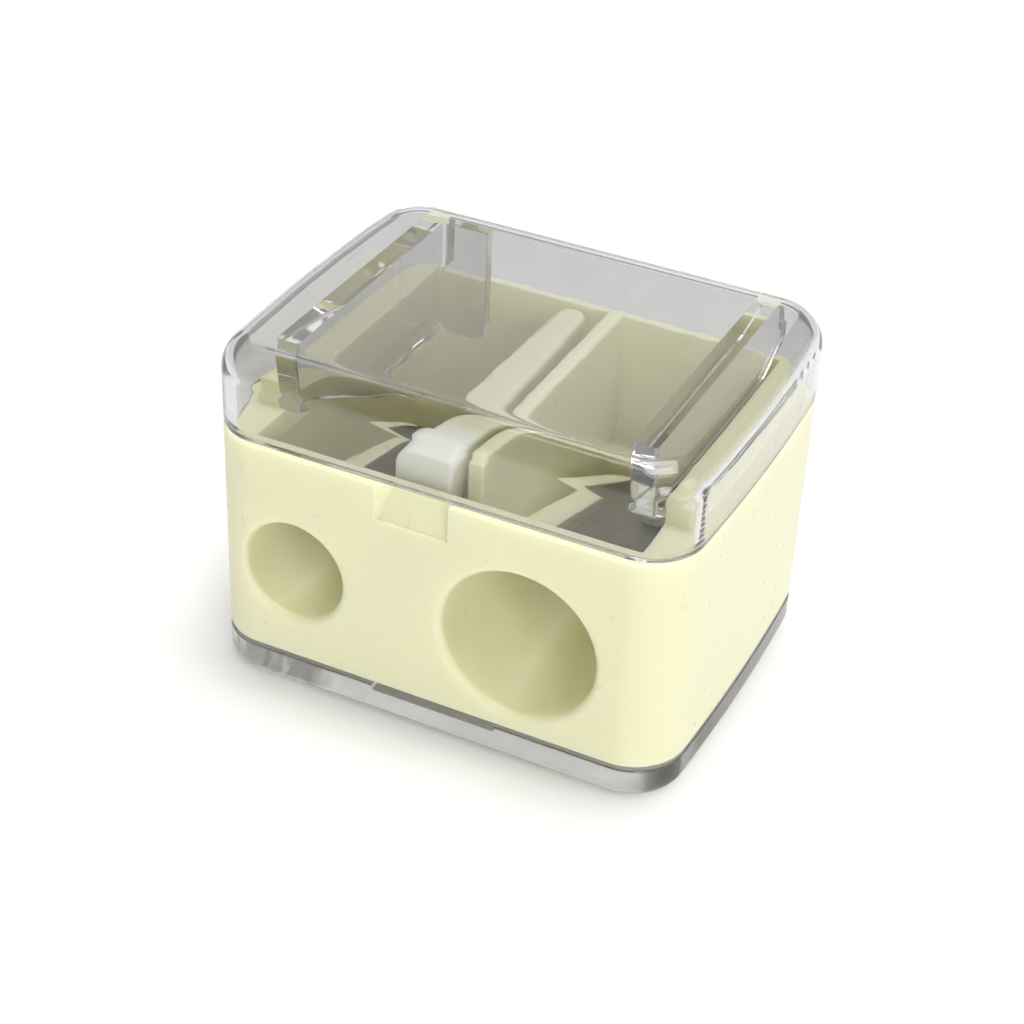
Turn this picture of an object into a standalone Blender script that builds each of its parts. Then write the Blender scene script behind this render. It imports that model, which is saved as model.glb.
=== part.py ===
"""Two-hole cosmetic pencil sharpener: an opaque moulded body between a clear lift-off lid and a clear base.

The body carries two tapered pencil bores side by side, a screwed-on blade over each, and a cleaning pick
in the channel between them. The shavings gather in the body and under the lid.

Frame: metres, +Z up, +X to the right and +Y to the back when the bores face the viewer. The origin is on
the surface the sharpener stands on, under the middle of its footprint.
"""

import math

import bmesh
import bpy
from mathutils import Matrix, Vector

MM = 0.001

# Driving dimensions of the whole
WIDTH = 36.2 * MM
DEPTH = 28.0 * MM
HEIGHT = 26.2 * MM
CORNER_RADIUS = 3.8 * MM
END_BOW = 0.5 * MM  # how far the middle of each end stands out beyond its corners
GAP = 0.3 * MM  # clearance between separate pieces
OVERLAP = 0.4 * MM  # how far shapes run into each other where they are joined or cut
MERGE = 0.00001

# Heights of the seams
BASE_TOP = 2.4 * MM
BODY_LOW = BASE_TOP + GAP
BODY_RIM = 19.3 * MM
LID_LOW = BODY_RIM + GAP

# Walls
BODY_WALL = 2.0 * MM
LID_WALL = 0.9 * MM
BASE_FLOOR = 1.3 * MM
LID_EDGE_ROUND = 2.5 * MM
BASE_EDGE_ROUND = 0.8 * MM
LIP_INSET = LID_WALL + 0.5 * MM
LIP_TOP = 20.9 * MM
LIP_FRONT = -8.2 * MM  # the lip stops here, at both front corners
SHOULDER = 14.3 * MM  # the upper part of both end walls is thicker, and reaches in this far
SHOULDER_LOW = 17.3 * MM
PLUG_WALL = 1.0 * MM
PLUG_TOP = 5.0 * MM
PLUG_GAP = 13.0 * MM  # the plug leaves out the front this far to each side, where the tunnels are

# Bores: the pencil axis of each lies level, along Y; edge is where the blade's edge lies, right of it
FRONT = -DEPTH / 2
INNER_FRONT = FRONT + BODY_WALL
INNER_BACK = DEPTH / 2 - BODY_WALL
BORE_HEIGHT = 9.8 * MM
CONE_START = -11.0 * MM
MOUTH_ROUND = 0.6 * MM
TUNNEL_WALL = 1.2 * MM
TUNNEL_LOW = 3.0 * MM  # the tunnels are flat below this height, to stay clear of the base
BLADE_DIP = 0.3 * MM  # how far the blade's seat lies below the top of the bore
SMALL = {"x": -10.8 * MM, "radius": 3.85 * MM, "tip_radius": 0.8 * MM, "tip_y": 4.5 * MM, "edge": -0.7 * MM}
LARGE = {"x": 6.6 * MM, "radius": 5.75 * MM, "tip_radius": 1.2 * MM, "tip_y": 8.0 * MM, "edge": -0.7 * MM}

# Blades and their screws, measured along and across each blade's seat
BLADE_THICKNESS = 0.9 * MM
BLADE_WIDTH = 7.0 * MM
BLADE_FRONT = 0.8 * MM
BLADE_SLANT = 0.6 * MM
BLADE_HOLE_RADIUS = 1.15 * MM
GRIND_WIDTH = 1.3 * MM
EDGE_THICKNESS = 0.135 * MM
SEAT_WIDTH = 7.0 * MM
SEAT_DEPTH = 4.4 * MM
SCREW_HEAD_RADIUS = 1.5 * MM
SCREW_HEAD_HEIGHT = 0.8 * MM
SCREW_RADIUS = 0.9 * MM
SCREW_LENGTH = 3.6 * MM
SCREW_EDGE = 0.25 * MM
SCREW_HOLE_RADIUS = 1.1 * MM
SCREW_ACROSS = 0.76  # where the screw stands, as a share of the blade's width and of the seat's length
SCREW_ALONG = 0.5
SLOT_WIDTH = 0.5 * MM
SLOT_DEPTH = 0.4 * MM
SLOT_TURN = math.radians(35)

# Partition between the bores, and on its left the ledge that the pick lies on, with a low rim
PARTITION = (1.0 * MM, 2.2 * MM)
PARTITION_FRONT = -10.4 * MM
PARTITION_LOW = 5.6 * MM
PARTITION_TOP = 21.1 * MM
LEDGE_LOW = 16.4 * MM
LEDGE_TOP = 18.0 * MM
LEDGE_RIM = (-3.8 * MM, -3.3 * MM)
LEDGE_RIM_TOP = 19.1 * MM
LEDGE_FRONT = -8.0 * MM
STEP_LOW = 15.6 * MM
STEP_TOP = 16.6 * MM

# Cleaning pick: a bar on the ledge, and a head that stands in front of it on a lower step
PICK_BAR = (-3.0 * MM, 0.4 * MM)
PICK_TOP = 21.0 * MM
PICK_ROUND = 0.5 * MM
PICK_TIP_RADIUS = 1.1 * MM
PICK_BACK = 11.2 * MM
PICK_HEAD = (-3.9 * MM, 0.6 * MM)
PICK_HEAD_TOP = 21.4 * MM
PICK_HEAD_TAPER = 0.6 * MM
PICK_HEAD_ROUND = (1.4 * MM, 0.5 * MM)  # its top left and top right corners, from the front
PICK_HEAD_FRONT = -11.5 * MM
PICK_HEAD_BACK = -8.8 * MM

# Notch in the front wall, under the lid's edge
NOTCH = (-4.35 * MM, 1.25 * MM)
NOTCH_LOW = 16.5 * MM
NOTCH_FOOT = 0.2 * MM  # its floor slopes from this depth at the bottom
NOTCH_DEPTH = 1.0 * MM  # to this one at the rim
NOTCH_TAPER = 1.2 * MM

# Ribs and rear tab inside the lid; the left rib reaches down into the body behind its knee
RIB = (12.3 * MM, 14.0 * MM)
RIB_FRONT = -10.2 * MM
RIB_LEAN = 0.4 * MM
RIB_LOW = 20.3 * MM
RIB_RISE = 4.0 * MM  # the right rib's lower edge rises over this length, to clear the lip behind it
RIB_KNEE = (0.5 * MM, 2.5 * MM)
RIB_KNEE_DROP = 0.4 * MM
TAB_LOW = 16.2 * MM
TAB_BACK = INNER_BACK - GAP
TAB_THICKNESS = 1.0 * MM
TAB_RIGHT = -8.6 * MM

# Shallow recess along the front of the base's top edge
BASE_SLOT = (-4.4 * MM, 5.2 * MM)
BASE_SLOT_LOW = 2.0 * MM
BASE_SLOT_DEPTH = 1.2 * MM

CORNER_STEPS = 6
END_STEPS = 6
EDGE_STEPS = 4
BORE_STEPS = 32
SCREW_STEPS = 20


# ---------------------------------------------------------------- scene and helpers


def clear_scene():
    for obj in list(bpy.data.objects):
        bpy.data.objects.remove(obj)


def new_collection(name):
    collection = bpy.data.collections.new(name)
    bpy.context.scene.collection.children.link(collection)
    return collection


def material(name, colour, roughness, metallic=0.0, alpha=1.0):
    made = bpy.data.materials.new(name)
    made.use_nodes = True
    shader = made.node_tree.nodes["Principled BSDF"]
    shader.inputs["Base Color"].default_value = (*colour, 1.0)
    shader.inputs["Roughness"].default_value = roughness
    shader.inputs["Metallic"].default_value = metallic
    shader.inputs["Alpha"].default_value = alpha
    made.diffuse_color = (*colour, alpha)
    return made


def new_object(name, data, collection):
    obj = bpy.data.objects.new(name, data)
    collection.objects.link(obj)
    return obj


def keep_as_helper(obj):
    """A shape that is only joined to or cut from another: it isn't a piece of its own."""
    for collection in list(obj.users_collection):
        collection.objects.unlink(obj)
    helpers.objects.link(obj)
    obj.hide_render = True
    obj.display_type = "WIRE"
    return obj


def boolean(obj, other, operation):
    modifier = obj.modifiers.new(f"{operation.lower()}_{other.name}", "BOOLEAN")
    modifier.operation = operation
    modifier.object = other


def place(obj, parent=None, location=(0, 0, 0), rotation=(0, 0, 0)):
    obj.parent = parent
    obj.location = location
    obj.rotation_euler = rotation
    return obj


def slab(name, outlines, low, high, top_round=0.0, bottom_round=0.0, steps=EDGE_STEPS):
    """A flat outline, with any holes in it, standing from low to high, and the rims that are rounded."""
    curve = bpy.data.curves.new(name, "CURVE")
    curve.dimensions = "2D"
    curve.fill_mode = "BOTH"
    curve.extrude = (high - low) / 2
    for points in outlines:
        spline = curve.splines.new("POLY")
        spline.points.add(len(points) - 1)
        for point, (x, y) in zip(spline.points, points):
            point.co = (x, y, 0, 1)
        spline.use_cyclic_u = True
    drawn = new_object(name + "_outline", curve, pieces)
    bpy.context.view_layer.update()
    graph = bpy.context.evaluated_depsgraph_get()
    mesh = bpy.data.meshes.new_from_object(drawn.evaluated_get(graph))
    bpy.data.objects.remove(drawn)
    mesh.transform(Matrix.Translation((0, 0, (low + high) / 2)))
    bm = bmesh.new()
    bm.from_mesh(mesh)
    bmesh.ops.remove_doubles(bm, verts=bm.verts, dist=MERGE)
    bmesh.ops.recalc_face_normals(bm, faces=bm.faces)
    bmesh.ops.dissolve_limit(bm, angle_limit=math.radians(0.5), verts=bm.verts, edges=bm.edges)
    weights = bm.edges.layers.float.new("bevel_weight_edge")
    widest = max(top_round, bottom_round)
    for edge in bm.edges:
        for rim, amount in ((high, top_round), (low, bottom_round)):
            if amount and all(abs(vertex.co.z - rim) < MERGE for vertex in edge.verts):
                edge[weights] = amount / widest
    bm.to_mesh(mesh)
    bm.free()
    obj = new_object(name, mesh, pieces)
    if widest:
        bevel = obj.modifiers.new("rounded_rims", "BEVEL")
        bevel.limit_method = "WEIGHT"
        bevel.width = widest
        bevel.segments = steps
    return obj


def block(name, low, high, taper_left=0.0):
    """A box between two corners; taper_left narrows its back face on the left."""
    mesh = bpy.data.meshes.new(name)
    bm = bmesh.new()
    bmesh.ops.create_cube(bm, size=1.0)
    low, high = Vector(low), Vector(high)
    for vertex in bm.verts:
        back_left = vertex.co.y > 0 and vertex.co.x < 0
        for axis in range(3):
            vertex.co[axis] = high[axis] if vertex.co[axis] > 0 else low[axis]
        if back_left:
            vertex.co.x += taper_left
    bm.to_mesh(mesh)
    bm.free()
    return new_object(name, mesh, pieces)


def side_view(name, profile, x0, x1):
    """A shape drawn in its side view, as (y, z) points, and reaching from one place across to another."""
    wall = slab(name, [profile], x0, x1)
    return place(wall, None, (0, 0, 0), (math.pi / 2, 0, math.pi / 2))


def turned(name, profile, steps):
    """A turned solid about its own Z axis; the profile runs from its top to its bottom."""
    mesh = bpy.data.meshes.new(name)
    mesh.from_pydata([(r, 0, h) for r, h in profile], [(i, i + 1) for i in range(len(profile) - 1)], [])
    obj = new_object(name, mesh, pieces)
    screw = obj.modifiers.new("turn", "SCREW")
    screw.steps = screw.render_steps = steps
    screw.use_merge_vertices = True
    screw.merge_threshold = MERGE
    return obj


def circle(x, y, radius, steps=SCREW_STEPS):
    turn = [2 * math.pi * i / steps for i in range(steps)]
    return [(x + radius * math.cos(a), y + radius * math.sin(a)) for a in turn]


def footprint(inset=0.0):
    """The plan outline moved inwards: a rounded rectangle whose two ends bow outwards."""
    half_x, half_y = WIDTH / 2 - inset, DEPTH / 2 - inset
    radius = max(CORNER_RADIUS - inset, 0.6 * MM)
    points = []
    for quarter in range(4):
        centre_x = (half_x - radius) * (1 if quarter in (0, 3) else -1)
        centre_y = (half_y - radius) * (1 if quarter in (0, 1) else -1)
        for step in range(CORNER_STEPS + 1):
            angle = math.radians(90 * (quarter + step / CORNER_STEPS))
            points.append((centre_x + radius * math.cos(angle), centre_y + radius * math.sin(angle)))
        if quarter in (1, 3):  # the straight stretch that follows is an end, which bows
            reach = half_y - radius
            for step in range(1, END_STEPS):
                y = reach * (1 - 2 * step / END_STEPS) * (1 if quarter == 1 else -1)
                points.append((math.copysign(half_x, centre_x), y))
    return [(x * (1 - END_BOW / half_x * (y / half_y) ** 2), y) for x, y in points]


# ---------------------------------------------------------------- the body


def half_angle(bore):
    return math.atan((bore["radius"] - bore["tip_radius"]) / (bore["tip_y"] - CONE_START))


def seat_frame(name, bore):
    """An empty on the blade's seat, over the cone's start: its Y runs down the seat, its Z away from it."""
    empty = new_object(f"{name}_seat_frame", None, pieces)
    height = BORE_HEIGHT + bore["radius"] - BLADE_DIP
    return place(empty, None, (bore["x"], CONE_START, height), (-half_angle(bore), 0, 0))


def seat_length(bore):
    return (bore["tip_y"] - CONE_START) / math.cos(half_angle(bore))


def tunnel(name, bore):
    """The outside of one sharpener: a tapered tube and a seat on its right, cut off level with the seat."""
    start = INNER_FRONT - OVERLAP
    length = bore["tip_y"] + TUNNEL_WALL - start
    tube = new_object(f"{name}_tunnel", bpy.data.meshes.new(f"{name}_tunnel"), pieces)
    bm = bmesh.new()
    wide = bore["radius"] + TUNNEL_WALL + (CONE_START - start) * math.tan(half_angle(bore))
    bmesh.ops.create_cone(
        bm,
        cap_ends=True,
        segments=BORE_STEPS,
        radius1=bore["tip_radius"] + TUNNEL_WALL,
        radius2=wide,
        depth=length,
    )
    bm.to_mesh(tube.data)
    bm.free()
    place(tube, None, (bore["x"], start + length / 2, BORE_HEIGHT), (math.pi / 2, 0, 0))

    frame = seat_frame(name, bore)
    front = start - CONE_START
    seat = block(f"{name}_seat", (0, front, -SEAT_DEPTH), (SEAT_WIDTH, seat_length(bore), OVERLAP))
    place(seat, frame)
    boolean(tube, keep_as_helper(seat), "UNION")
    above = block(
        f"{name}_above_seat",
        (-2 * SEAT_WIDTH, 6 * front, 0),
        (2 * SEAT_WIDTH, 2 * seat_length(bore), 4 * SEAT_DEPTH),
    )
    place(above, frame)
    boolean(tube, keep_as_helper(above), "DIFFERENCE")
    below = block(f"{name}_below_tunnel", (-WIDTH, -DEPTH, -HEIGHT), (WIDTH, DEPTH, TUNNEL_LOW))
    boolean(tube, keep_as_helper(below), "DIFFERENCE")
    return keep_as_helper(tube), frame


def bore_cutter(name, bore):
    """A pencil bore: a rounded mouth, a short straight lead and the cone. Its own Z points out of it."""
    radius, tip = bore["radius"], bore["tip_radius"]
    mouth = -FRONT
    profile = [(0, mouth + OVERLAP), (radius + MOUTH_ROUND, mouth + OVERLAP), (radius + MOUTH_ROUND, mouth)]
    for step in range(1, EDGE_STEPS + 1):
        angle = math.radians(90 * step / EDGE_STEPS)
        reach = MOUTH_ROUND * (1 - math.sin(angle))
        profile.append((radius + reach, mouth - MOUTH_ROUND * (1 - math.cos(angle))))
    profile += [(radius, -CONE_START), (tip, -bore["tip_y"]), (0, -bore["tip_y"])]
    cutter = turned(f"{name}_bore", profile, BORE_STEPS)
    place(cutter, None, (bore["x"], 0, BORE_HEIGHT), (math.pi / 2, 0, 0))
    return keep_as_helper(cutter)


def screw_hole(name, bore, frame):
    x, y = screw_place(bore)
    profile = [
        (0, OVERLAP),
        (SCREW_HOLE_RADIUS, OVERLAP),
        (SCREW_HOLE_RADIUS, -SCREW_LENGTH),
        (0, -SCREW_LENGTH),
    ]
    hole = turned(f"{name}_screw_hole", profile, SCREW_STEPS)
    return keep_as_helper(place(hole, frame, (x, y, 0)))


def notch_cutter():
    """A recess open at the rim, with a sloping floor and a slanting left side."""
    back, top = FRONT + NOTCH_DEPTH, BODY_RIM + OVERLAP
    low, high = (NOTCH[0], FRONT - OVERLAP, NOTCH_LOW), (NOTCH[1], back, top)
    cutter = block("notch", low, high, taper_left=NOTCH_TAPER)
    slope = (NOTCH_DEPTH - NOTCH_FOOT) / (BODY_RIM - NOTCH_LOW)
    foot = FRONT + NOTCH_FOOT - slope * OVERLAP
    floor = [
        (foot, NOTCH_LOW - OVERLAP),
        (2 * back - foot, NOTCH_LOW - OVERLAP),
        (2 * back - foot, top + OVERLAP),
        (back + 2 * slope * OVERLAP, top + OVERLAP),
    ]
    boolean(cutter, keep_as_helper(side_view("notch_floor", floor, -WIDTH, WIDTH)), "DIFFERENCE")
    return keep_as_helper(cutter)


def build_body(small_frame_and_tunnel, large_frame_and_tunnel):
    body = slab("housing", [footprint()], BODY_LOW, BODY_RIM)
    lip = slab("lip", [footprint(LIP_INSET)], BODY_RIM - OVERLAP, LIP_TOP)
    boolean(body, keep_as_helper(lip), "UNION")
    lip_front = block("lip_front", (-WIDTH, FRONT - OVERLAP, BODY_RIM), (WIDTH, LIP_FRONT, LIP_TOP + OVERLAP))
    boolean(body, keep_as_helper(lip_front), "DIFFERENCE")
    cavity = slab("cavity", [footprint(BODY_WALL)], BODY_LOW - OVERLAP, LIP_TOP + OVERLAP)
    for side, x0, x1 in (("left", -WIDTH, -SHOULDER), ("right", SHOULDER, WIDTH)):
        shoulder = block(f"{side}_shoulder", (x0, -DEPTH, SHOULDER_LOW), (x1, DEPTH, HEIGHT))
        boolean(cavity, keep_as_helper(shoulder), "DIFFERENCE")
    boolean(body, keep_as_helper(cavity), "DIFFERENCE")

    for tube, _ in (small_frame_and_tunnel, large_frame_and_tunnel):
        boolean(body, tube, "UNION")
    back = INNER_BACK + OVERLAP
    for name, low, high in (
        ("partition", (PARTITION[0], PARTITION_FRONT, PARTITION_LOW), (PARTITION[1], back, PARTITION_TOP)),
        ("ledge", (LEDGE_RIM[0], LEDGE_FRONT, LEDGE_LOW), (PARTITION[0] + OVERLAP, back, LEDGE_TOP)),
        ("ledge_rim", (LEDGE_RIM[0], LEDGE_FRONT, LEDGE_LOW), (LEDGE_RIM[1], back, LEDGE_RIM_TOP)),
        (
            "head_step",
            (LEDGE_RIM[0], INNER_FRONT - OVERLAP, STEP_LOW),
            (PARTITION[1], LEDGE_FRONT + OVERLAP, STEP_TOP),
        ),
    ):
        boolean(body, keep_as_helper(block(name, low, high)), "UNION")

    for name, bore, (_, frame) in (
        ("small", SMALL, small_frame_and_tunnel),
        ("large", LARGE, large_frame_and_tunnel),
    ):
        boolean(body, bore_cutter(name, bore), "DIFFERENCE")
        boolean(body, screw_hole(name, bore, frame), "DIFFERENCE")
    boolean(body, notch_cutter(), "DIFFERENCE")
    return body


# ---------------------------------------------------------------- blades, screws, pick


def screw_place(bore):
    """Where the screw goes through the blade, on the seat."""
    return bore["edge"] + BLADE_WIDTH * SCREW_ACROSS, seat_length(bore) * SCREW_ALONG


def blade(name, bore, frame):
    """A trapezoidal plate with one hole, ground to an edge along its left side."""
    edge = bore["edge"]
    length = seat_length(bore) - 2 * BLADE_FRONT
    hole_x, hole_y = screw_place(bore)
    plate = slab(
        f"{name}_blade",
        [
            [
                (edge, BLADE_FRONT),
                (edge + BLADE_WIDTH, BLADE_FRONT + BLADE_SLANT),
                (edge + BLADE_WIDTH, BLADE_FRONT + length - BLADE_SLANT),
                (edge, BLADE_FRONT + length),
            ],
            circle(hole_x, hole_y, BLADE_HOLE_RADIUS),
        ],
        GAP,
        GAP + BLADE_THICKNESS,
    )
    place(plate, frame)
    grind = block(
        f"{name}_grind",
        (-2 * GRIND_WIDTH, -length, 0),
        (2 * GRIND_WIDTH, 2 * length, 2 * BLADE_THICKNESS),
    )
    slope = math.atan2(BLADE_THICKNESS - EDGE_THICKNESS, GRIND_WIDTH)
    place(grind, frame, (edge, 0, GAP + EDGE_THICKNESS), (0, -slope, 0))
    boolean(plate, keep_as_helper(grind), "DIFFERENCE")
    return plate


def screw(name, bore, frame):
    """A cheese-head screw with a straight slot, standing square to the blade."""
    top = GAP + BLADE_THICKNESS + GAP + SCREW_HEAD_HEIGHT
    under = top - SCREW_HEAD_HEIGHT
    tip = -(SCREW_LENGTH - GAP)
    made = turned(
        f"{name}_blade_screw",
        [
            (0, top),
            (SCREW_HEAD_RADIUS - SCREW_EDGE, top),
            (SCREW_HEAD_RADIUS, top - SCREW_EDGE),
            (SCREW_HEAD_RADIUS, under),
            (SCREW_RADIUS, under),
            (SCREW_RADIUS, tip + 2 * SCREW_EDGE),
            (SCREW_RADIUS / 2, tip),
            (0, tip),
        ],
        SCREW_STEPS,
    )
    x, y = screw_place(bore)
    place(made, frame, (x, y, 0))
    slot = block(
        f"{name}_screw_slot",
        (-2 * SCREW_HEAD_RADIUS, -SLOT_WIDTH / 2, top - SLOT_DEPTH),
        (2 * SCREW_HEAD_RADIUS, SLOT_WIDTH / 2, top + OVERLAP),
    )
    place(slot, frame, (x, y, 0), (0, 0, SLOT_TURN))
    boolean(made, keep_as_helper(slot), "DIFFERENCE")
    return made


def build_pick():
    """The cleaning pick: a bar that narrows to a round tip at the back, with an upright head at the front."""
    left, right = PICK_BAR
    middle = (left + right) / 2
    outline = [(left, PICK_HEAD_BACK - OVERLAP), (right, PICK_HEAD_BACK - OVERLAP)]
    for step in range(CORNER_STEPS + 1):
        angle = math.pi * step / CORNER_STEPS
        y = PICK_BACK + PICK_TIP_RADIUS * (math.sin(angle) - 1)
        outline.append((middle + PICK_TIP_RADIUS * math.cos(angle), y))
    bar = slab("cleaning_pick", [outline], LEDGE_TOP + GAP, PICK_TOP, top_round=PICK_ROUND, steps=2)
    left, right = PICK_HEAD
    low = STEP_TOP + GAP
    front_view = [(left, low), (right - PICK_HEAD_TAPER, low)]
    for corner, radius, first in ((right, PICK_HEAD_ROUND[1], 0), (left, PICK_HEAD_ROUND[0], 90)):
        centre = corner - math.copysign(radius, corner - middle)
        for step in range(EDGE_STEPS + 1):
            angle = math.radians(first + 90 * step / EDGE_STEPS)
            height = PICK_HEAD_TOP - radius + radius * math.sin(angle)
            front_view.append((centre + radius * math.cos(angle), height))
    head = slab("pick_head", [front_view], 0, PICK_HEAD_BACK - PICK_HEAD_FRONT)
    place(head, None, (0, PICK_HEAD_BACK, 0), (math.pi / 2, 0, 0))
    boolean(bar, keep_as_helper(head), "UNION")
    return bar


# ---------------------------------------------------------------- lid and base


def build_lid():
    ceiling = HEIGHT - LID_WALL
    lid = slab("lid", [footprint()], LID_LOW, HEIGHT, top_round=LID_EDGE_ROUND)
    inner_round = LID_EDGE_ROUND - LID_WALL
    hollow = slab("lid_hollow", [footprint(LID_WALL)], LID_LOW - OVERLAP, ceiling, top_round=inner_round)
    boolean(lid, keep_as_helper(hollow), "DIFFERENCE")

    root = ceiling + OVERLAP
    wall = DEPTH / 2 - LID_WALL + OVERLAP
    above_lip = LIP_TOP + GAP
    reach = LID_EDGE_ROUND - LID_WALL + OVERLAP
    inside_edge = []
    for angle in (math.radians(30 * step) for step in range(4)):
        inside_edge.append((wall - reach * (1 - math.cos(angle)), root - reach * (1 - math.sin(angle))))
    front_end = [(RIB_FRONT, root), (RIB_FRONT + RIB_LEAN, RIB_LOW)]
    back_end = [(wall - RIB_RISE, RIB_LOW), (wall, above_lip + 1 * MM), *inside_edge]
    right = side_view("right_rib", front_end + back_end, *RIB)
    back_end = [
        (RIB_KNEE[0], TAB_LOW + RIB_KNEE_DROP),
        (RIB_KNEE[1], TAB_LOW),
        (TAB_BACK, TAB_LOW),
        (TAB_BACK, above_lip),
        (wall, above_lip),
        *inside_edge,
    ]
    left = side_view("left_rib", front_end + back_end, -RIB[1], -RIB[0])
    tab = block("rear_tab", (-RIB[1], TAB_BACK - TAB_THICKNESS, TAB_LOW), (TAB_RIGHT, TAB_BACK, root))
    for added in (right, left, tab):
        boolean(lid, keep_as_helper(added), "UNION")
    return lid


def build_base():
    base = slab("base_cover", [footprint()], 0, BASE_TOP, bottom_round=BASE_EDGE_ROUND)
    plug_inset = BODY_WALL + GAP
    plug = slab("plug", [footprint(plug_inset)], BASE_FLOOR, PLUG_TOP)
    boolean(base, keep_as_helper(plug), "UNION")
    well = slab("well", [footprint(plug_inset + PLUG_WALL)], BASE_FLOOR, PLUG_TOP + OVERLAP)
    boolean(base, keep_as_helper(well), "DIFFERENCE")
    front_gap = block(
        "plug_front_gap",
        (-PLUG_GAP, FRONT, BASE_TOP),
        (PLUG_GAP, INNER_FRONT + 2 * PLUG_WALL, PLUG_TOP + OVERLAP),
    )
    boolean(base, keep_as_helper(front_gap), "DIFFERENCE")
    recess = block(
        "base_slot",
        (BASE_SLOT[0], FRONT - OVERLAP, BASE_SLOT_LOW),
        (BASE_SLOT[1], FRONT + BASE_SLOT_DEPTH, BASE_TOP + OVERLAP),
    )
    boolean(base, keep_as_helper(recess), "DIFFERENCE")
    return base


# ---------------------------------------------------------------- assembly

clear_scene()
pieces = new_collection("pencil_sharpener")
helpers = new_collection("helpers")

CREAM = material("cream_plastic", (0.80, 0.78, 0.56), 0.35)
CLEAR = material("clear_plastic", (0.93, 0.94, 0.95), 0.05, alpha=0.3)
STEEL = material("blade_steel", (0.55, 0.55, 0.53), 0.25, metallic=1.0)
PLATED = material("screw_steel", (0.62, 0.61, 0.58), 0.3, metallic=1.0)
NATURAL = material("natural_plastic", (0.84, 0.86, 0.80), 0.4)

small_tunnel = tunnel("small", SMALL)
large_tunnel = tunnel("large", LARGE)
finishes = {
    build_body(small_tunnel, large_tunnel): CREAM,
    build_lid(): CLEAR,
    build_base(): CLEAR,
    build_pick(): NATURAL,
    blade("small", SMALL, small_tunnel[1]): STEEL,
    blade("large", LARGE, large_tunnel[1]): STEEL,
    screw("small", SMALL, small_tunnel[1]): PLATED,
    screw("large", LARGE, large_tunnel[1]): PLATED,
}
for piece, finish in finishes.items():
    piece.data.materials.append(finish)
    piece.data.shade_smooth()
    piece.data.set_sharp_from_angle(angle=math.radians(30))
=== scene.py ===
import math

import bmesh
import bpy
from mathutils import Matrix, Vector


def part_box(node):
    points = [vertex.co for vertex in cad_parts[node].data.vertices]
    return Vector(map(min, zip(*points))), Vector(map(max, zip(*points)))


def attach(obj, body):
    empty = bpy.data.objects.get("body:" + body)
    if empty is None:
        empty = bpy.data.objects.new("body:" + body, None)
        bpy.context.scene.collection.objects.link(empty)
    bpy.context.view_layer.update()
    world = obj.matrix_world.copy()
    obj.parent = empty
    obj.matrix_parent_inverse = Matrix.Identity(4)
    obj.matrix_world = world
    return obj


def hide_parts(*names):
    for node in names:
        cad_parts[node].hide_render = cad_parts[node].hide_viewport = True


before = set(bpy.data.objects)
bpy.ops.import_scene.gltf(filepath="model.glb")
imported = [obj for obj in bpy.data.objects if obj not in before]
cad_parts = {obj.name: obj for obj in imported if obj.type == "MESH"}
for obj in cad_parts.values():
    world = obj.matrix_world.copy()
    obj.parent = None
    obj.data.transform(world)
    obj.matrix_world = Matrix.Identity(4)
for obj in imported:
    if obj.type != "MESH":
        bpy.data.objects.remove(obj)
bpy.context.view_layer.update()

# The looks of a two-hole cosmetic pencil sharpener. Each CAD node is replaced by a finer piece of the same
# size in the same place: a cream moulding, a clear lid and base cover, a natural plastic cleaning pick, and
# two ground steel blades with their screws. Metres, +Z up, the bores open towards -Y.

MM = 0.001

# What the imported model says
housing_low, housing_high = (Vector(corner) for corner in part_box("housing"))
lid_low, lid_high = (Vector(corner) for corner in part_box("lid"))
base_low, base_high = (Vector(corner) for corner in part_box("base_cover"))
pick_low, pick_high = (Vector(corner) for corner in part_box("cleaning_pick"))
WIDTH = lid_high.x - lid_low.x
DEPTH = lid_high.y - lid_low.y
HEIGHT = lid_high.z
FRONT = lid_low.y
BODY_LOW = housing_low.z
PARTITION_TOP = housing_high.z
TAB_LOW = lid_low.z
PLUG_TOP = base_high.z

# The rest of the design's sizes
GAP = 0.3 * MM
OVERLAP = 0.4 * MM
MERGE = 0.000002
CORNER_RADIUS = 3.8 * MM
LEAST_CORNER = 0.6 * MM
END_BOW = 0.5 * MM
BASE_TOP = BODY_LOW - GAP
BODY_RIM = 19.3 * MM
LID_LOW = BODY_RIM + GAP
BODY_WALL = 2.0 * MM
LID_WALL = 0.9 * MM
BASE_FLOOR = 1.3 * MM
LID_EDGE_ROUND = 2.5 * MM
BASE_EDGE_ROUND = 0.8 * MM
LIP_INSET = 1.4 * MM
LIP_TOP = 20.9 * MM
LIP_FRONT = -8.2 * MM
SHOULDER = 14.3 * MM
SHOULDER_LOW = 17.3 * MM
SHOULDER_TOP = LIP_TOP - 0.02 * MM
PLUG_WALL = 1.0 * MM
PLUG_GAP = 13.0 * MM
FLOOR_ROUND = 0.3 * MM
RIM_ROUND = 0.15 * MM
INNER_EDGE = 0.25 * MM
INNER_FRONT = FRONT + BODY_WALL
INNER_BACK = -FRONT - BODY_WALL

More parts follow.
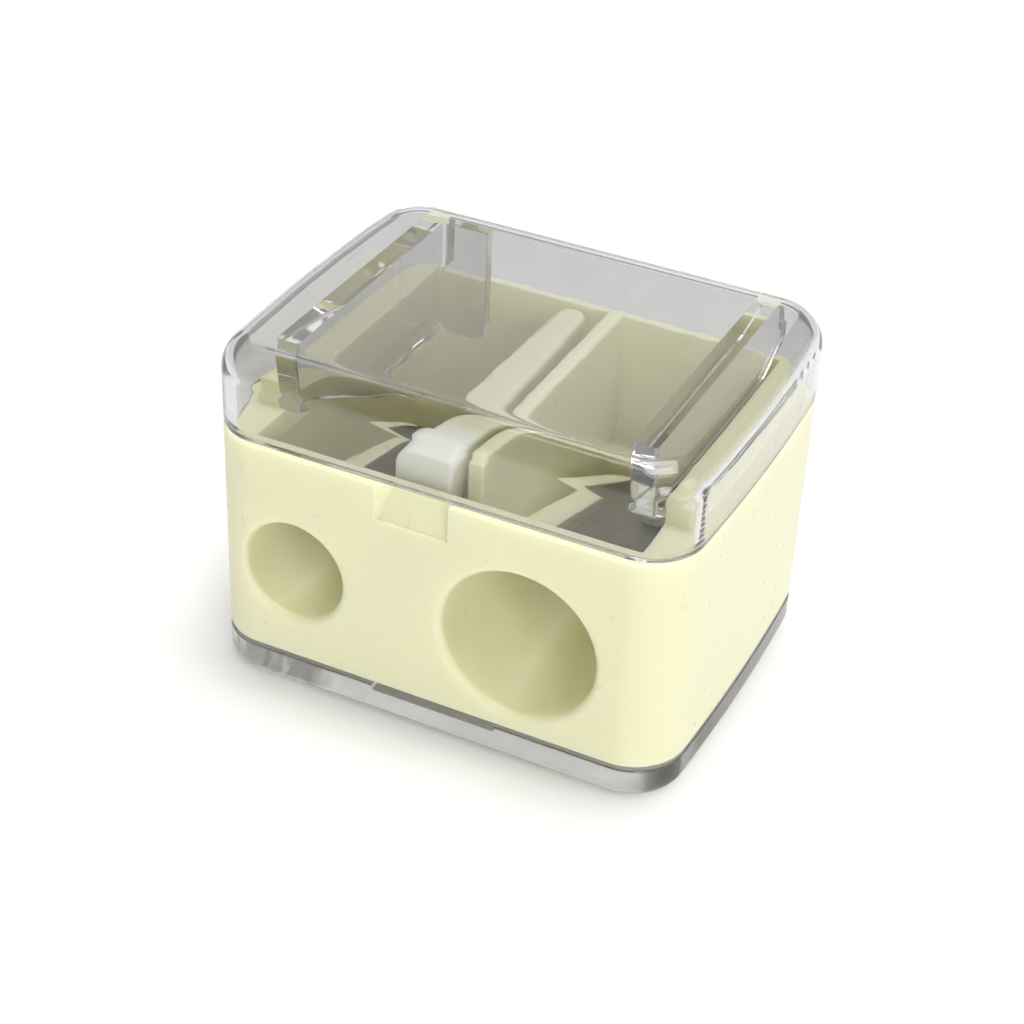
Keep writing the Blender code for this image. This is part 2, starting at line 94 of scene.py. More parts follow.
BORE_HEIGHT = 9.8 * MM
CONE_START = -11.0 * MM
MOUTH_ROUND = 0.6 * MM
TUNNEL_WALL = 1.2 * MM
TUNNEL_LOW = 3.0 * MM
TUNNEL_EDGE = 0.4 * MM
BLADE_DIP = 0.3 * MM
SMALL = {"x": -10.8 * MM, "radius": 3.85 * MM, "tip_radius": 0.8 * MM, "tip_y": 4.5 * MM, "edge": -0.7 * MM}
LARGE = {"x": 6.6 * MM, "radius": 5.75 * MM, "tip_radius": 1.2 * MM, "tip_y": 8.0 * MM, "edge": -0.7 * MM}
SEAT_WIDTH = 7.0 * MM
SEAT_DEPTH = 4.4 * MM
BLADE_THICKNESS = 0.9 * MM
BLADE_WIDTH = 7.0 * MM
BLADE_FRONT = 0.8 * MM
BLADE_SLANT = 0.6 * MM
BLADE_CORNER = 0.5 * MM
BLADE_EDGE = 0.06 * MM
EDGE_LEFT = 0.15
GRIND_WIDTH = 1.3 * MM
SCREW_HEAD_RADIUS = 1.5 * MM
SCREW_HEAD_HEIGHT = 0.8 * MM
SCREW_EDGE = 0.25 * MM
SCREW_RADIUS = 0.9 * MM
SCREW_LENGTH = 3.6 * MM
SHANK_GAP_BLADE = 0.25 * MM
SHANK_GAP_SEAT = 0.2 * MM
SCREW_ACROSS = 0.76
SCREW_ALONG = 0.5
SLOT_WIDTH = 0.5 * MM
SLOT_DEPTH = 0.4 * MM
SLOT_TURN = math.radians(35)

PARTITION = (1.0 * MM, 2.2 * MM)
PARTITION_FRONT = -10.4 * MM
PARTITION_LOW = 5.6 * MM
LEDGE_LOW = 16.4 * MM
LEDGE_TOP = 18.0 * MM
LEDGE_RIM = (-3.8 * MM, -3.3 * MM)
LEDGE_RIM_TOP = 19.1 * MM
LEDGE_FRONT = -8.0 * MM
STEP_LOW = 15.6 * MM
STEP_TOP = 16.6 * MM
PICK_BAR = (-3.0 * MM, 0.4 * MM)
PICK_TOP = 21.0 * MM
PICK_TIP_RADIUS = 1.1 * MM
PICK_HEAD_BACK = -8.8 * MM
PICK_HEAD_TAPER = 0.6 * MM
PICK_BAR_EDGE = 0.45 * MM
PICK_HEAD_EDGE = 0.25 * MM
NOTCH = (-4.35 * MM, 1.25 * MM)
NOTCH_LOW = 16.5 * MM
NOTCH_FOOT = 0.2 * MM
NOTCH_DEPTH = 1.0 * MM
NOTCH_TAPER = 1.2 * MM
RIB = (12.3 * MM, 14.0 * MM)
RIB_FRONT = -10.2 * MM
RIB_LEAN = 0.4 * MM
RIB_LOW = 20.3 * MM
RIB_RISE = 4.0 * MM
RIB_KNEE = (0.5 * MM, 2.5 * MM)
RIB_KNEE_ROUND = 1.5 * MM
RIB_CORNER = 0.5 * MM
RIB_EDGE = 0.2 * MM
TAB_BACK = INNER_BACK - GAP
TAB_THICKNESS = 1.0 * MM
TAB_RIGHT = -8.6 * MM
TAB_CORNER = 0.7 * MM
TAB_EDGE = 0.15 * MM
BASE_SLOT = (-4.4 * MM, 5.2 * MM)
BASE_SLOT_LOW = 2.0 * MM
BASE_SLOT_DEPTH = 1.2 * MM

# Fineness of the curved surfaces
CORNER_STEPS = 14
END_STEPS = 16
ROUND_STEPS = 4
EDGE_STEPS = 12
TURN_STEPS = 96
SHARP_ANGLE = math.radians(32)
FLOOR_GAP = 0.1 * MM

scene = bpy.context.scene


# ---------------------------------------------------------------- shapes


def rounded(corners, steps=ROUND_STEPS):
    """A closed outline from corners (x, y, radius): each corner with a radius becomes an arc."""
    points = []
    for i, (x, y, radius) in enumerate(corners):
        here = Vector((x, y))
        before = (Vector(corners[i - 1][:2]) - here).normalized()
        after = (Vector(corners[(i + 1) % len(corners)][:2]) - here).normalized()
        if not radius:
            points.append((x, y))
            continue
        half = before.angle(after) / 2
        reach = radius / math.tan(half)
        centre = here + (before + after).normalized() * (radius / math.sin(half))
        start = here + before * reach - centre
        sweep = start.angle_signed(here + after * reach - centre)
        for step in range(steps + 1):
            turned = start.copy()
            turned.rotate(Matrix.Rotation(-sweep * step / steps, 2))
            points.append(tuple(centre + turned))
    return points


def footprint(inset=0.0):
    """The plan outline moved inwards: a rounded rectangle whose two ends bow outwards."""
    half_x, half_y = WIDTH / 2 - inset, DEPTH / 2 - inset
    radius = max(CORNER_RADIUS - inset, LEAST_CORNER)
    points = []
    for quarter in range(4):
        centre_x = (half_x - radius) * (1 if quarter in (0, 3) else -1)
        centre_y = (half_y - radius) * (1 if quarter in (0, 1) else -1)
        for step in range(CORNER_STEPS + 1):
            angle = math.radians(90 * (quarter + step / CORNER_STEPS))
            points.append((centre_x + radius * math.cos(angle), centre_y + radius * math.sin(angle)))
        if quarter in (1, 3):
            reach = half_y - radius
            for step in range(1, END_STEPS):
                y = reach * (1 - 2 * step / END_STEPS) * (1 if quarter == 1 else -1)
                points.append((math.copysign(half_x, centre_x), y))
    return [(x * (1 - END_BOW / half_x * (y / half_y) ** 2), y) for x, y in points]


def skin(name, loops, closed=False):
    """A solid through loops of as many points each. Its ends are capped, or joined to each other if
    closed."""
    mesh = bpy.data.meshes.new(name)
    bm = bmesh.new()
    rows = [[bm.verts.new(point) for point in loop] for loop in loops]
    pairs = list(zip(rows, rows[1:] + rows[:1])) if closed else list(zip(rows, rows[1:]))
    for one, two in pairs:
        for i in range(len(one)):
            j = (i + 1) % len(one)
            bm.faces.new((one[i], one[j], two[j], two[i]))
    if not closed:
        bm.faces.new(rows[0][::-1])
        bm.faces.new(rows[-1])
    bmesh.ops.recalc_face_normals(bm, faces=bm.faces)
    bm.to_mesh(mesh)
    bm.free()
    return linked(name, mesh)


def linked(name, mesh):
    obj = bpy.data.objects.new(name, mesh)
    scene.collection.objects.link(obj)
    return obj


def shell(name, profile, closed=False):
    """The footprint carried along a profile of (inset, height)."""
    return skin(name, [[(x, y, z) for x, y in footprint(inset)] for inset, z in profile], closed)


def prism(name, outline, low, high, edge=0.0, placing=Matrix()):
    """A flat outline standing from low to high along its own Z, with its edges rounded."""
    obj = skin(name, [[(x, y, z) for x, y in outline] for z in (low, high)])
    if edge:
        bevel = obj.modifiers.new("rounded_edges", "BEVEL")
        bevel.limit_method = "ANGLE"
        bevel.angle_limit = SHARP_ANGLE
        bevel.width = edge
        bevel.segments = 3
        bevel.miter_outer = "MITER_ARC"
        settle(obj)
    obj.data.transform(placing)
    return obj


def block(name, low, high, edge=0.0, placing=Matrix()):
    (x0, y0, z0), (x1, y1, z1) = low, high
    return prism(name, [(x0, y0), (x1, y0), (x1, y1), (x0, y1)], z0, z1, edge, placing)


def turned(name, profile, placing=Matrix()):
    """A turned solid about its own Z axis; the profile runs from its top to its bottom."""
    mesh = bpy.data.meshes.new(name)
    mesh.from_pydata([(r, 0, z) for r, z in profile], [(i, i + 1) for i in range(len(profile) - 1)], [])
    obj = linked(name, mesh)
    screw = obj.modifiers.new("turn", "SCREW")
    screw.steps = screw.render_steps = TURN_STEPS
    screw.use_merge_vertices = True
    screw.merge_threshold = MERGE
    settle(obj)
    obj.data.transform(placing)
    return obj


def settle(obj):
    """Makes what the modifiers give the object's own mesh."""
    bpy.context.view_layer.update()
    graph = bpy.context.evaluated_depsgraph_get()
    mesh = bpy.data.meshes.new_from_object(obj.evaluated_get(graph))
    obj.modifiers.clear()
    obj.data = mesh
    return obj


def joined(obj, other, operation="UNION"):
    """Joins the other shape to the object, or cuts it away, and uses the other one up."""
    modifier = obj.modifiers.new(operation.lower(), "BOOLEAN")
    modifier.operation = operation
    modifier.object = other
    settle(obj)
    bpy.data.objects.remove(other)
    return obj


def cut(obj, other):
    return joined(obj, other, "DIFFERENCE")


def finished(obj, node, finish, body):
    """Smooth shading with crisp edges, a material, and the CAD node that the piece stands for."""
    bm = bmesh.new()
    bm.from_mesh(obj.data)
    bmesh.ops.remove_doubles(bm, verts=bm.verts, dist=MERGE)
    bmesh.ops.dissolve_degenerate(bm, edges=bm.edges, dist=MERGE)
    bm.to_mesh(obj.data)
    bm.free()
    obj.data.shade_smooth()
    obj.data.set_sharp_from_angle(angle=SHARP_ANGLE)
    weighted = obj.modifiers.new("flat_faces_stay_flat", "WEIGHTED_NORMAL")
    weighted.keep_sharp = True
    weighted.weight = 80
    obj.data.materials.clear()
    obj.data.materials.append(finish)
    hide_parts(node)
    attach(obj, body)
    return obj


# ---------------------------------------------------------------- sharpener frames


def half_angle(bore):
    return math.atan((bore["radius"] - bore["tip_radius"]) / (bore["tip_y"] - CONE_START))


def seat_length(bore):
    return (bore["tip_y"] - CONE_START) / math.cos(half_angle(bore))


def seat_frame(bore):
    """The place of the blade's seat, over the start of the cone: Y runs down the seat and Z away from it."""
    place = Matrix.Translation((bore["x"], CONE_START, BORE_HEIGHT + bore["radius"] - BLADE_DIP))
    return place @ Matrix.Rotation(-half_angle(bore), 4, "X")


def screw_frame(bore):
    across, along = bore["edge"] + BLADE_WIDTH * SCREW_ACROSS, seat_length(bore) * SCREW_ALONG
    return seat_frame(bore) @ Matrix.Translation((across, along, 0))


def bore_frame(bore):
    """The pencil's axis, with Z pointing out of the mouth."""
    return Matrix.Translation((bore["x"], 0, BORE_HEIGHT)) @ Matrix.Rotation(math.pi / 2, 4, "X")


# ---------------------------------------------------------------- housing


def tunnel(bore):
    """The outside of one sharpener: a tapered tube and a seat on its right, cut off level with the seat."""
    start = INNER_FRONT - OVERLAP
    wide = bore["radius"] + TUNNEL_WALL + (CONE_START - start) * math.tan(half_angle(bore))
    narrow = bore["tip_radius"] + TUNNEL_WALL
    end = bore["tip_y"] + TUNNEL_WALL
    shoulder_end, flat_end = (narrow, TUNNEL_EDGE - end), (narrow - TUNNEL_EDGE, -end)
    profile = [(0, -start), (wide, -start), shoulder_end, flat_end, (0, -end)]
    tube = turned("tunnel", profile, bore_frame(bore))
    front = start - CONE_START
    seat_corners = ((0, front, -SEAT_DEPTH), (SEAT_WIDTH, seat_length(bore), OVERLAP))
    joined(tube, block("seat", *seat_corners, placing=seat_frame(bore)))
    above = ((-2 * SEAT_WIDTH, 6 * front, 0), (2 * SEAT_WIDTH, 2 * seat_length(bore), 4 * SEAT_DEPTH))
    cut(tube, block("above_seat", *above, placing=seat_frame(bore)))
    cut(tube, block("below_tunnel", (-WIDTH, -DEPTH, -HEIGHT), (WIDTH, DEPTH, TUNNEL_LOW)))
    return tube


def bore_cutter(bore):
    radius, tip, mouth = bore["radius"], bore["tip_radius"], -FRONT
    flare = radius + MOUTH_ROUND
    profile = [(0, mouth + OVERLAP), (flare, mouth + OVERLAP), (flare, mouth)]
    for step in range(1, EDGE_STEPS + 1):
        angle = math.radians(90 * step / EDGE_STEPS)
        drop = MOUTH_ROUND * (1 - math.cos(angle))
        profile.append((radius + MOUTH_ROUND * (1 - math.sin(angle)), mouth - drop))
    profile += [(radius, -CONE_START), (tip, -bore["tip_y"]), (0, -bore["tip_y"])]
    return turned("bore", profile, bore_frame(bore))


def screw_hole(bore):
    radius = SCREW_RADIUS + SHANK_GAP_SEAT
    profile = [(0, OVERLAP), (radius, OVERLAP), (radius, -SCREW_LENGTH), (0, -SCREW_LENGTH)]
    return turned("screw_hole", profile, screw_frame(bore))


def notch_cutter():
    """A recess open at the rim: its floor slopes to full depth there and its left side slants."""
    top = BODY_RIM + OVERLAP
    slope = (NOTCH_DEPTH - NOTCH_FOOT) / (BODY_RIM - NOTCH_LOW)
    loops = []
    for z in (NOTCH_LOW, top):
        left, right, front = NOTCH[0], NOTCH[1], FRONT - OVERLAP
        back = FRONT + NOTCH_FOOT + (z - NOTCH_LOW) * slope
        taper = NOTCH_TAPER * (back - FRONT) / NOTCH_DEPTH
        corners = [(left, front), (left, FRONT), (left + taper, back), (right, back), (right, front)]
        loops.append([(x, y, z) for x, y in corners])
    return skin("notch", loops)


def shoulder(side):
    """The thicker upper part of the end wall on that side (-1 left, 1 right), inside the lip."""
    inner = footprint(LIP_INSET + 2 * RIM_ROUND)
    outline = [point for point in inner if point[0] * side > SHOULDER + 2 * RIM_ROUND]
    y = max(point[1] for point in outline)
    first = outline.index(max(outline, key=lambda point: point[1] * -side))
    outline = outline[first:] + outline[:first]
    outline += [(side * SHOULDER, side * y), (side * SHOULDER, -side * y)]
    return prism("shoulder", outline, SHOULDER_LOW, SHOULDER_TOP, RIM_ROUND)


def build_housing():
    profile = rounded(
        [
            (0, BODY_LOW, RIM_ROUND),
            (BODY_WALL, BODY_LOW, RIM_ROUND),
            (BODY_WALL, LIP_TOP, RIM_ROUND),
            (LIP_INSET, LIP_TOP, RIM_ROUND),
            (LIP_INSET, BODY_RIM, 0),
            (0, BODY_RIM, RIM_ROUND),
        ]
    )
    body = shell("housing_moulding", profile, closed=True)
    for side in (-1, 1):
        joined(body, shoulder(side))
    lip_front = ((-WIDTH, FRONT - OVERLAP, BODY_RIM), (WIDTH, LIP_FRONT, LIP_TOP + OVERLAP))
    cut(body, block("lip_front", *lip_front))
    for bore in (SMALL, LARGE):
        joined(body, tunnel(bore))
    back = INNER_BACK + OVERLAP
    for name, low, high in (
        ("partition", (PARTITION[0], PARTITION_FRONT, PARTITION_LOW), (PARTITION[1], back, PARTITION_TOP)),
        ("ledge", (LEDGE_RIM[0], LEDGE_FRONT, LEDGE_LOW), (PARTITION[0] + OVERLAP, back, LEDGE_TOP)),
        ("ledge_rim", (LEDGE_RIM[0], LEDGE_FRONT, LEDGE_LOW), (LEDGE_RIM[1], back, LEDGE_RIM_TOP)),
        (
            "head_step",
            (LEDGE_RIM[0], INNER_FRONT - OVERLAP, STEP_LOW),
            (PARTITION[1], LEDGE_FRONT + OVERLAP, STEP_TOP),
        ),
    ):
        joined(body, block(name, low, high, min(INNER_EDGE, (high[0] - low[0]) * 0.4)))
    for bore in (SMALL, LARGE):
        cut(body, bore_cutter(bore))
        cut(body, screw_hole(bore))
    return cut(body, notch_cutter())


# ---------------------------------------------------------------- blades, screws, pick


def build_blade(name, bore):
    """A trapezoidal plate with one hole, ground to an edge along its left side."""
    edge = bore["edge"]
    length = seat_length(bore) - 2 * BLADE_FRONT
    outline = rounded(
        [
            (edge, BLADE_FRONT, 0),
            (edge + BLADE_WIDTH, BLADE_FRONT + BLADE_SLANT, BLADE_CORNER),
            (edge + BLADE_WIDTH, BLADE_FRONT + length - BLADE_SLANT, BLADE_CORNER),
            (edge, BLADE_FRONT + length, 0),
        ]
    )
    plate = prism(name, outline, GAP, GAP + BLADE_THICKNESS, BLADE_EDGE, seat_frame(bore))
    slope = math.atan2(BLADE_THICKNESS * (1 - EDGE_LEFT), GRIND_WIDTH)
    lean = Matrix.Translation((edge, 0, GAP + BLADE_THICKNESS * EDGE_LEFT))
    lean = lean @ Matrix.Rotation(-slope, 4, "Y")
    grind = ((-2 * GRIND_WIDTH, -length, 0), (GRIND_WIDTH * 1.3, 2 * length, 2 * BLADE_THICKNESS))
    cut(plate, block("grind", *grind, placing=seat_frame(bore) @ lean))
    radius = SCREW_RADIUS + SHANK_GAP_BLADE
    hole = [(0, 2 * MM), (radius, 2 * MM), (radius, -MM), (0, -MM)]
    return cut(plate, turned("blade_hole", hole, screw_frame(bore)))


def build_screw(name, bore):
    """A cheese-head screw with a straight slot, standing square to the blade."""
    under = GAP + BLADE_THICKNESS + GAP
    top = under + SCREW_HEAD_HEIGHT
    tip = GAP - SCREW_LENGTH
    edge = SCREW_EDGE
    profile = [(0, top)]
    for step in range(ROUND_STEPS + 1):
        angle = math.radians(90 * step / ROUND_STEPS)
        reach = SCREW_HEAD_RADIUS - edge + edge * math.sin(angle)
        profile.append((reach, top - edge + edge * math.cos(angle)))
    profile += [
        (SCREW_HEAD_RADIUS, under),
        (SCREW_RADIUS, under),
        (SCREW_RADIUS, tip + 2 * edge),
        (SCREW_RADIUS / 2, tip),
        (0, tip),
    ]
    made = turned(name, profile, screw_frame(bore))
    across, half = 2 * SCREW_HEAD_RADIUS, SLOT_WIDTH / 2
    slot = ((-across, -half, top - SLOT_DEPTH), (across, half, 2 * top))
    turn = Matrix.Rotation(SLOT_TURN, 4, "Z")
    return cut(made, block("screw_slot", *slot, placing=screw_frame(bore) @ turn))


def build_pick():
    """The cleaning pick: a bar that narrows to a round tip at the back, with an upright head at the front."""
    left, right = PICK_BAR
    middle = (left + right) / 2
    outline = [(left, PICK_HEAD_BACK - OVERLAP), (right, PICK_HEAD_BACK - OVERLAP)]
    for step in range(EDGE_STEPS + 1):
        angle = math.pi * step / EDGE_STEPS
        y = pick_high.y + PICK_TIP_RADIUS * (math.sin(angle) - 1)
        outline.append((middle + PICK_TIP_RADIUS * math.cos(angle), y))
    bar = prism("cleaning_pick_bar", outline, LEDGE_TOP + GAP, PICK_TOP, PICK_BAR_EDGE)
    left, right = pick_low.x, pick_high.x
    front_view = rounded(
        [
            (left, pick_low.z, 0.5 * MM),
            (right - PICK_HEAD_TAPER, pick_low.z, 0.5 * MM),
            (right, pick_high.z, 0.6 * MM),
            (left, pick_high.z, 1.4 * MM),
        ],
        EDGE_STEPS,
    )
    upright = Matrix.Translation((0, PICK_HEAD_BACK, 0)) @ Matrix.Rotation(math.pi / 2, 4, "X")
    head = prism("pick_head", front_view, 0, PICK_HEAD_BACK - pick_low.y, PICK_HEAD_EDGE, upright)
    return joined(bar, head)


# ---------------------------------------------------------------- lid and base


def side_wall(name, profile, x0, x1):
    """A flat wall drawn in its side view, as (y, z) corners, and standing between two places across."""
    turn = Matrix.Rotation(math.pi / 2, 4, "Z") @ Matrix.Rotation(math.pi / 2, 4, "X")
    return prism(name, rounded(profile), x0, x1, RIB_EDGE, turn)


def build_lid():
    ceiling = HEIGHT - LID_WALL
    cap = LID_EDGE_ROUND + 0.5 * MM
    profile = rounded(
        [
            (cap, ceiling, 0),
            (LID_WALL, ceiling, LID_EDGE_ROUND - LID_WALL),
            (LID_WALL, LID_LOW, RIM_ROUND),
            (0, LID_LOW, RIM_ROUND),
            (0, HEIGHT, LID_EDGE_ROUND),
            (cap, HEIGHT, 0),
        ],
        EDGE_STEPS,
    )
    lid = shell("lid_clear", profile)
    root = ceiling + OVERLAP
    wall = -FRONT - LID_WALL + OVERLAP
    above_lip = LIP_TOP + GAP
    inside_edge = (wall, root, LID_EDGE_ROUND - LID_WALL + OVERLAP)
    front_end = [(RIB_FRONT, root, 0), (RIB_FRONT + RIB_LEAN, RIB_LOW, RIB_CORNER)]
    back_end = [(wall - RIB_RISE, RIB_LOW, RIB_CORNER), (wall, above_lip + 1 * MM, 0), inside_edge]
    joined(lid, side_wall("right_rib", front_end + back_end, *RIB))
    back_end = [
        (sum(RIB_KNEE) / 2, TAB_LOW, RIB_KNEE_ROUND),
        (TAB_BACK, TAB_LOW, 0),
        (TAB_BACK, above_lip, 0),
        (wall, above_lip, 0),
        inside_edge,
    ]
    joined(lid, side_wall("left_rib", front_end + back_end, -RIB[1], -RIB[0]))
    left = 0.1 * MM - RIB[1]
    low_corners = [(left, TAB_LOW, 0), (TAB_RIGHT, TAB_LOW, TAB_CORNER)]
    tab = rounded(low_corners + [(TAB_RIGHT, root, 0), (left, root, 0)])
    upright = Matrix.Translation((0, TAB_BACK, 0)) @ Matrix.Rotation(math.pi / 2, 4, "X")
    return joined(lid, prism("rear_tab", tab, 0, TAB_THICKNESS, TAB_EDGE, upright))


def build_base():
    plug_inset = BODY_WALL + GAP
    inner = plug_inset + PLUG_WALL
    cap = inner + 2 * MM
    profile = rounded(
        [
            (cap, 0, 0),
            (0, 0, BASE_EDGE_ROUND),
            (0, BASE_TOP, RIM_ROUND),
            (plug_inset, BASE_TOP, 0),
            (plug_inset, PLUG_TOP, RIM_ROUND),
            (inner, PLUG_TOP, RIM_ROUND),
            (inner, BASE_FLOOR, FLOOR_ROUND),
            (cap, BASE_FLOOR, 0),
        ],
        EDGE_STEPS,
    )
    base = shell("base_cover_clear", profile)
    front_gap = ((-PLUG_GAP, FRONT, BASE_TOP), (PLUG_GAP, INNER_FRONT + 2 * PLUG_WALL, PLUG_TOP + OVERLAP))
    cut(base, block("plug_front_gap", *front_gap))
    slot_low = (BASE_SLOT[0], FRONT - OVERLAP, BASE_SLOT_LOW)
    slot_high = (BASE_SLOT[1], FRONT + BASE_SLOT_DEPTH, BASE_TOP + OVERLAP)
    return cut(base, block("base_slot", slot_low, slot_high))


# ---------------------------------------------------------------- materials


def new_material(name):
    made = bpy.data.materials.new(name)
    made.use_nodes = True
    nodes = made.node_tree.nodes
    return made, nodes, made.node_tree.links, nodes["Principled BSDF"]


def noise(nodes, links, scale, detail=3.0, stretch=(1, 1, 1)):
    """Noise in the object's own space, in metres; scale is how many features fit in a metre."""
    place = nodes.new("ShaderNodeTexCoord")
    mapping = nodes.new("ShaderNodeMapping")
    mapping.inputs["Scale"].default_value = stretch
    texture = nodes.new("ShaderNodeTexNoise")
    texture.inputs["Scale"].default_value = scale
    texture.inputs["Detail"].default_value = detail
    links.new(place.outputs["Object"], mapping.inputs["Vector"])
    links.new(mapping.outputs["Vector"], texture.inputs["Vector"])
    return texture.outputs["Fac"]


def spread(nodes, links, source, low, high, start=0.3, end=0.7):
    """Maps what varies between start and end to a range from low to high."""
    mapped = nodes.new("ShaderNodeMapRange")
    mapped.inputs["From Min"].default_value = start
    mapped.inputs["From Max"].default_value = end
    mapped.inputs["To Min"].default_value = low
    mapped.inputs["To Max"].default_value = high
    links.new(source, mapped.inputs["Value"])
    return mapped.outputs["Result"]


def blend_colours(nodes, links, factor, one, two):
    mix = nodes.new("ShaderNodeMix")
    mix.data_type = "RGBA"
    links.new(factor, mix.inputs["Factor"])
    mix.inputs["A"].default_value = (*one, 1)
    mix.inputs["B"].default_value = (*two, 1)
    return mix.outputs["Result"]


def bump(nodes, links, height, distance, shader, strength=1.0):
    made = nodes.new("ShaderNodeBump")
    made.inputs["Strength"].default_value = strength
    made.inputs["Distance"].default_value = distance
    links.new(height, made.inputs["Height"])
    links.new(made.outputs["Normal"], shader.inputs["Normal"])


def cream_plastic():
    """Soft-gloss moulded plastic that lets a little light in, with faint clouding and a fine moulded
    grain."""
    made, nodes, links, shader = new_material("cream_plastic")
    clouds = noise(nodes, links, 160, 4)
    links.new(
        blend_colours(nodes, links, clouds, (0.77, 0.757, 0.50), (0.81, 0.797, 0.545)),
        shader.inputs["Base Color"],
    )
    links.new(spread(nodes, links, noise(nodes, links, 900, 5), 0.27, 0.4), shader.inputs["Roughness"])
    shader.inputs["Subsurface Weight"].default_value = 0.6
    shader.inputs["Subsurface Radius"].default_value = (1.0, 0.9, 0.55)
    shader.inputs["Subsurface Scale"].default_value = 2.5 * MM
    shader.inputs["IOR"].default_value = 1.5
    bump(nodes, links, noise(nodes, links, 1200, 2), 0.004 * MM, shader)
    return made


def clear_plastic(name, clearness, haze_range):
    """Clear polystyrene with a slight grey cast and faint handling haze. Shadow rays and diffuse rays pass
    through it unbent."""
    made, nodes, links, shader = new_material(name)
    shader.inputs["Base Color"].default_value = (clearness, clearness, clearness, 1)
    shader.inputs["Transmission Weight"].default_value = 1.0
    shader.inputs["IOR"].default_value = 1.53
    haze = noise(nodes, links, 350, 6)
    links.new(spread(nodes, links, haze, *haze_range, 0.45, 0.8), shader.inputs["Roughness"])
    bump(nodes, links, noise(nodes, links, 220, 2), 0.02 * MM, shader)
    through = nodes.new("ShaderNodeBsdfTransparent")
    through.inputs["Color"].default_value = (0.98, 0.98, 0.98, 1)
    path = nodes.new("ShaderNodeLightPath")
    surface = shader.outputs["BSDF"]
    for kind in ("Is Shadow Ray", "Is Diffuse Ray"):
        mix = nodes.new("ShaderNodeMixShader")
        links.new(path.outputs[kind], mix.inputs["Fac"])
        links.new(surface, mix.inputs[1])
        links.new(through.outputs["BSDF"], mix.inputs[2])
        surface = mix.outputs["Shader"]
    links.new(surface, nodes["Material Output"].inputs["Surface"])
    return made


def natural_plastic():
    """Unpigmented translucent plastic, waxy, with painted light and shade: the head at the front is painted
    lighter, as if lit, and the bar darker, as if in shade.
    """
    made, nodes, links, shader = new_material("natural_plastic")
    place = nodes.new("ShaderNodeTexCoord")
    axes = nodes.new("ShaderNodeSeparateXYZ")
    links.new(place.outputs["Object"], axes.inputs["Vector"])
    # Painted light and shade: the head at the front gets a lighter colour as if lit, and the bar towards the
    # back a darker colour as if in shade.
    along = spread(nodes, links, axes.outputs["Y"], 0, 1, PICK_HEAD_BACK, PICK_HEAD_BACK + 3 * MM)
    links.new(
        blend_colours(nodes, links, along, (0.84, 0.85, 0.76), (0.68, 0.665, 0.47)),
        shader.inputs["Base Color"],
    )
    links.new(spread(nodes, links, noise(nodes, links, 1500, 4), 0.3, 0.48), shader.inputs["Roughness"])
    shader.inputs["Subsurface Weight"].default_value = 0.8
    shader.inputs["Subsurface Radius"].default_value = (1.0, 1.0, 0.8)
    shader.inputs["Subsurface Scale"].default_value = 1.5 * MM
    bump(nodes, links, noise(nodes, links, 2500, 3), 0.006 * MM, shader)
    return made


def steel(name, light, dark, roughness, across):
    """Ground steel: fine parallel scratches that run across the direction in which the noise is stretched."""
    made, nodes, links, shader = new_material(name)
    shader.inputs["Metallic"].default_value = 1.0
    scratches = noise(nodes, links, 2500, 4, across)
    patches = noise(nodes, links, 600, 3)
    links.new(blend_colours(nodes, links, patches, dark, light), shader.inputs["Base Color"])
    links.new(spread(nodes, links, scratches, *roughness), shader.inputs["Roughness"])
    bump(nodes, links, scratches, 0.01 * MM, shader, 0.6)
    return made


def studio_white():
    made, nodes, links, shader = new_material("studio_white")
    clouds = noise(nodes, links, 3, 2)
    links.new(
        blend_colours(nodes, links, clouds, (0.93, 0.93, 0.93), (0.95, 0.95, 0.95)),
        shader.inputs["Base Color"],
    )
    shader.inputs["Roughness"].default_value = 0.9
    return made


# ---------------------------------------------------------------- stage, light, camera


def build_stage():
    reach = 3.0
    floor = linked("floor", bpy.data.meshes.new("floor"))
    bm = bmesh.new()
    bmesh.ops.create_grid(bm, x_segments=8, y_segments=8, size=reach)
    bm.to_mesh(floor.data)
    bm.free()
    floor.data.materials.append(studio_white())
    floor.location.z = -FLOOR_GAP
    world = bpy.data.worlds.new("studio")
    scene.world = world
    world.use_nodes = True
    background = world.node_tree.nodes["Background"]
    background.inputs["Color"].default_value = (1, 1, 1, 1)
    background.inputs["Strength"].default_value = 0.28


def area_light(name, position, target, size, power):
    data = bpy.data.lights.new(name, "AREA")
    data.shape = "RECTANGLE"
    data.size, data.size_y = size
    data.energy = power
    lamp = bpy.data.objects.new(name, data)
    scene.collection.objects.link(lamp)
    lamp.location = position
    lamp.rotation_euler = (Vector(target) - Vector(position)).to_track_quat("-Z", "Y").to_euler()


def build_lights(centre):
    area_light("key", (0.31, -0.30, 0.20), centre, (0.16, 0.20), 0.55)
    area_light("front", (0.10, -0.42, 0.18), centre, (0.30, 0.20), 0.32)
    area_light("side", (0.46, 0.04, 0.20), centre, (0.20, 0.20), 0.22)
    area_light("top", (0.05, 0.05, 0.50), centre, (0.36, 0.36), 2.2)
    area_light("back", (-0.23, 0.50, 0.38), centre, (0.56, 0.36), 0.55)


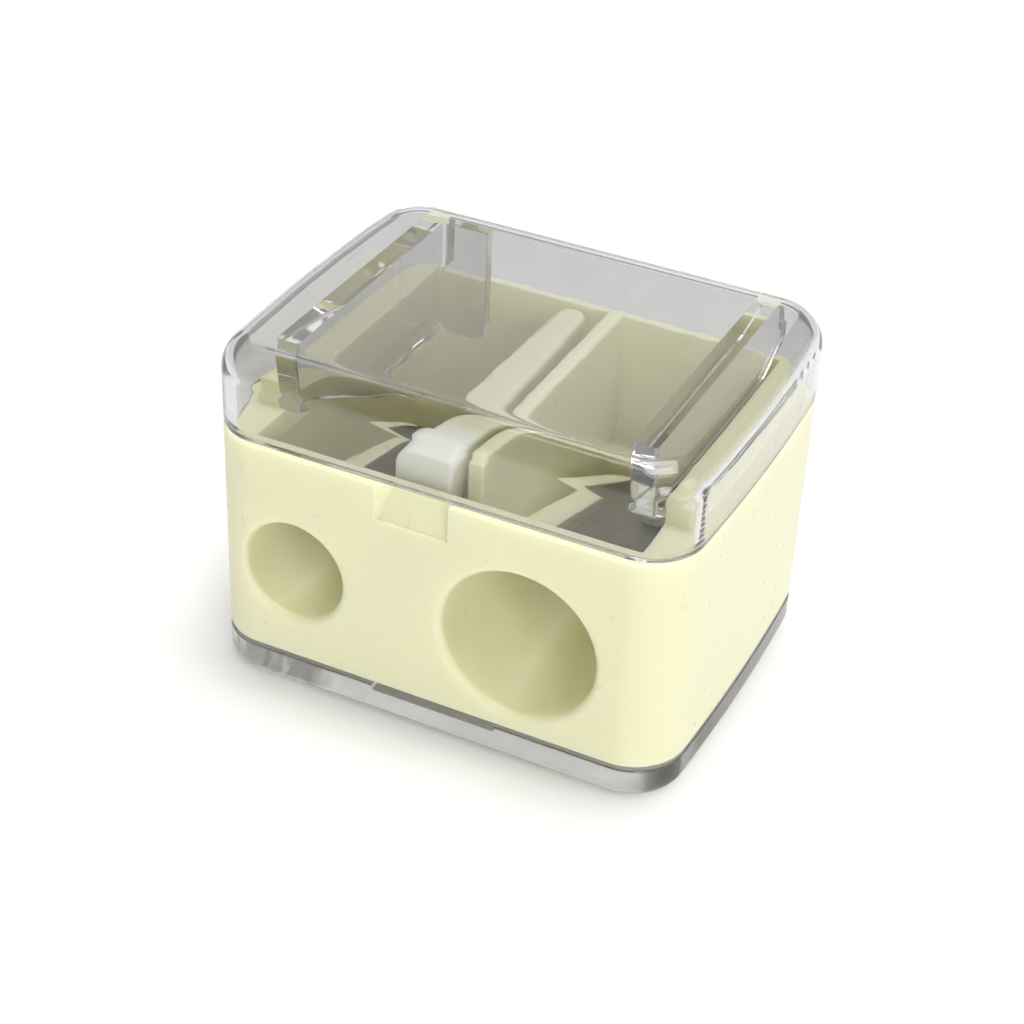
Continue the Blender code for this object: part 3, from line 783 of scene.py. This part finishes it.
def build_camera(centre):
    azimuth, elevation, roll = (math.radians(angle) for angle in (24.53, 33.17, 2.84))
    distance = 157.2 * MM
    aim_right, aim_up = -0.65 * MM, -2.27 * MM
    level = math.cos(elevation)
    back = Vector((math.sin(azimuth) * level, -math.cos(azimuth) * level, math.sin(elevation)))
    right = Vector((math.cos(azimuth), math.sin(azimuth), 0))
    right.rotate(Matrix.Rotation(-roll, 3, -back))
    up = back.cross(right)
    position = centre + back * distance
    away = (position - (centre + right * aim_right + up * aim_up)).normalized()
    right = (right - away * right.dot(away)).normalized()
    up = away.cross(right)
    data = bpy.data.cameras.new("camera")
    data.sensor_width = 36
    data.lens = 76.8
    data.clip_start = 0.005
    camera = bpy.data.objects.new("camera", data)
    scene.collection.objects.link(camera)
    axes = Matrix((right, up, away)).transposed().to_4x4()
    camera.matrix_world = Matrix.Translation(position) @ axes
    scene.camera = camera


# ---------------------------------------------------------------- assembly

CREAM = cream_plastic()
LID_CLEAR = clear_plastic("clear_plastic_lid", 0.68, (0.02, 0.08))
BASE_CLEAR = clear_plastic("clear_plastic_base", 0.64, (0.06, 0.16))
NATURAL = natural_plastic()
BLADE_STEEL = steel("blade_steel", (0.21, 0.20, 0.155), (0.14, 0.133, 0.10), (0.28, 0.48), (1, 0.03, 1))
SCREW_STEEL = steel("screw_steel", (0.66, 0.65, 0.62), (0.52, 0.51, 0.48), (0.18, 0.34), (0.2, 1, 1))

finished(build_housing(), "housing", CREAM, "housing")
finished(build_lid(), "lid", LID_CLEAR, "lid")
finished(build_base(), "base_cover", BASE_CLEAR, "base")
finished(build_pick(), "cleaning_pick", NATURAL, "pick")
for size, bore in (("small", SMALL), ("large", LARGE)):
    blade = build_blade(f"{size}_blade_ground", bore)
    finished(blade, f"{size}_blade", BLADE_STEEL, "housing")
    screw = build_screw(f"{size}_blade_screw_slotted", bore)
    finished(screw, f"{size}_blade_screw", SCREW_STEEL, "housing")

middle = Vector((0, 0, HEIGHT / 2))
build_stage()
build_lights(middle)
build_camera(middle)
scene.view_settings.view_transform = "Standard"
scene.cycles.max_bounces = 24
scene.cycles.glossy_bounces = 16
scene.cycles.transmission_bounces = 24
